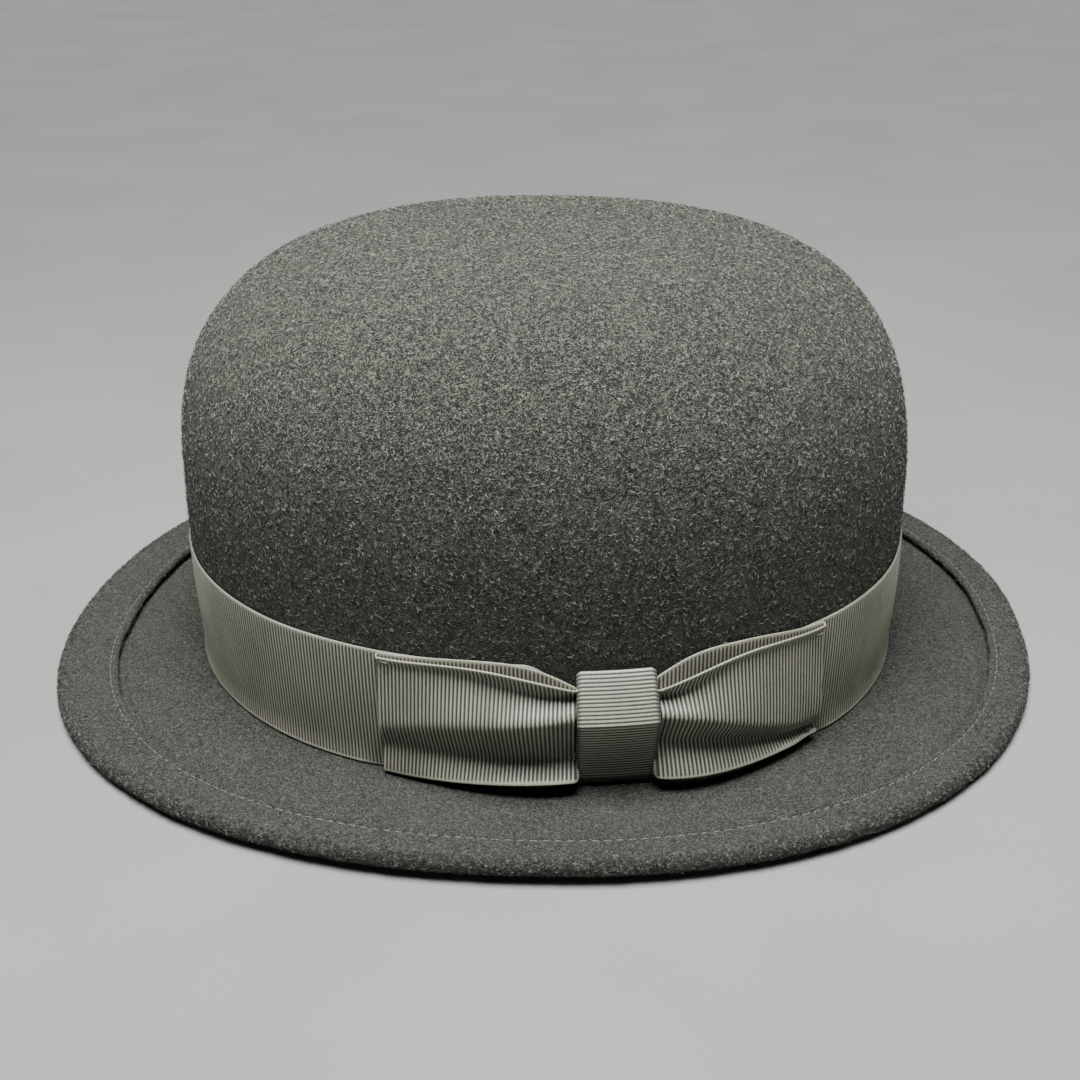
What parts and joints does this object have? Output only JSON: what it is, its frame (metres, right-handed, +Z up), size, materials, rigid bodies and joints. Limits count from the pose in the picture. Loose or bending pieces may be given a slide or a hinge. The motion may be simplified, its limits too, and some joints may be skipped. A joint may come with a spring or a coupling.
{
  "type": "bowler hat",
  "caption": "Felt bowler hat with a rounded crown, flat brim with folded edge, ribbon band and flat side bow, lined and with a sweatband.",
  "frame": {"origin": "middle of the brim's outline, on the surface that the hat rests on", "axes": "+X from the front of the hat to its back, -Y towards the wearer's left side, where the bow is, +Z up"},
  "size_m": [0.2936, 0.2576, 0.1265],
  "materials": {
    "felt": "brushed wool felt, dark grey-green",
    "ribbon": "ribbed grosgrain, dark olive grey",
    "thread": "sewing thread",
    "leather": "smooth dark brown leather",
    "satin": "black satin",
    "reed": "plastic reed"
  },
  "bodies": {
    "root": {"felt_body": "felt", "welt_thread": "thread", "ribbon_band": "ribbon", "bow_loop": "ribbon", "bow_knot": "ribbon", "bow_tack_front": "thread", "bow_tack_back": "thread", "bow_tack_back_low": "thread", "sweatband": "leather", "sweatband_reed": "reed", "sweatband_thread": "thread", "sweatband_bow": "ribbon", "sweatband_bow_knot": "ribbon", "lining_side": "satin", "lining_tip": "satin", "lining_piping": "satin", "lining_thread": "thread"}
  },
  "joints": []
}
